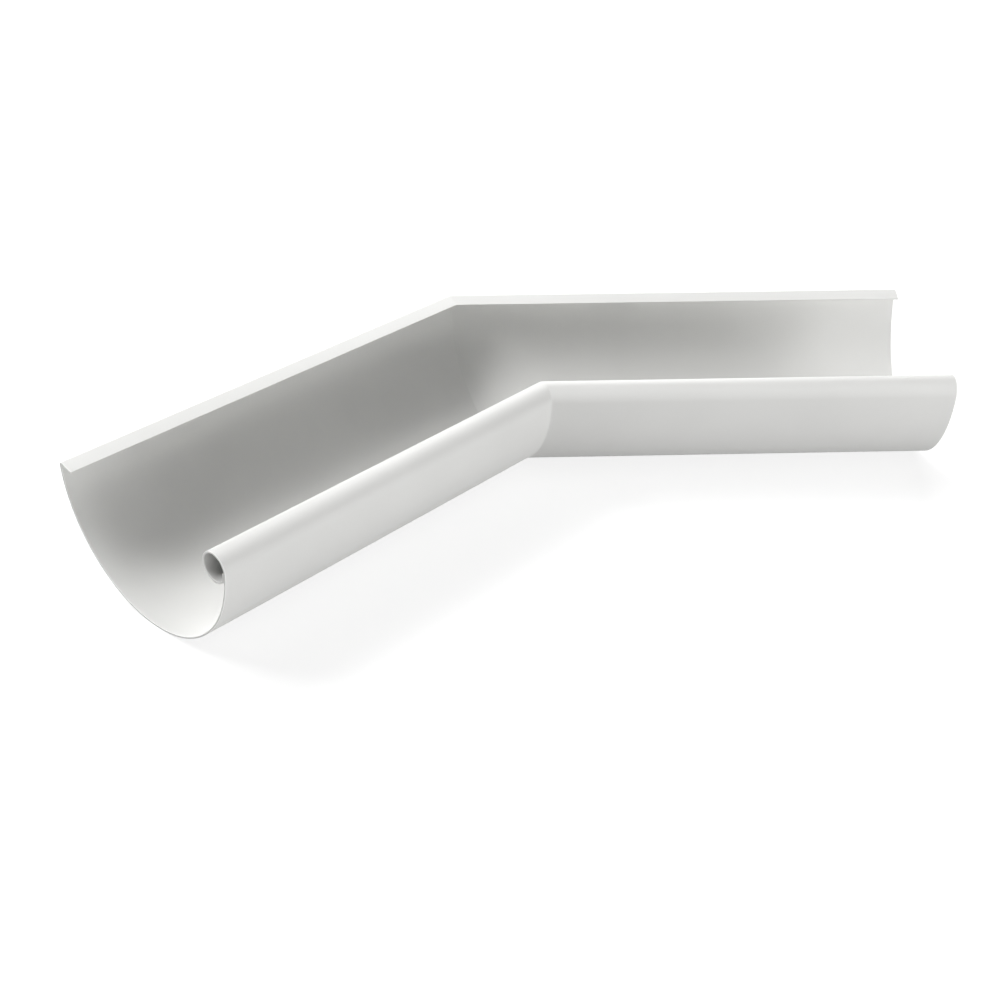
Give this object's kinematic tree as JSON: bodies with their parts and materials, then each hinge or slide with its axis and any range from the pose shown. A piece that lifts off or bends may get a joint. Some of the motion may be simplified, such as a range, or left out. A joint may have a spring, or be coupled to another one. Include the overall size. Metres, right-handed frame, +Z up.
{
  "type": "internal gutter angle",
  "caption": "Inside corner piece of a half-round eaves gutter in white coated sheet, with a rolled front bead and a back flange.",
  "frame": {"origin": "middle of the footprint, on the line where the channel rests on a level floor", "axes": "the mitre lies in the plane X = 0; +X to the right along the corner, +Y towards the backs of the legs, -Y towards the beads, +Z up"},
  "size_m": [0.4918, 0.219, 0.0675],
  "materials": {
    "white_coated_steel": "coil-coated sheet steel, traffic-white polyester paint with a soft half-gloss"
  },
  "bodies": {
    "root": {"gutter_angle": "white_coated_steel"}
  },
  "joints": []
}
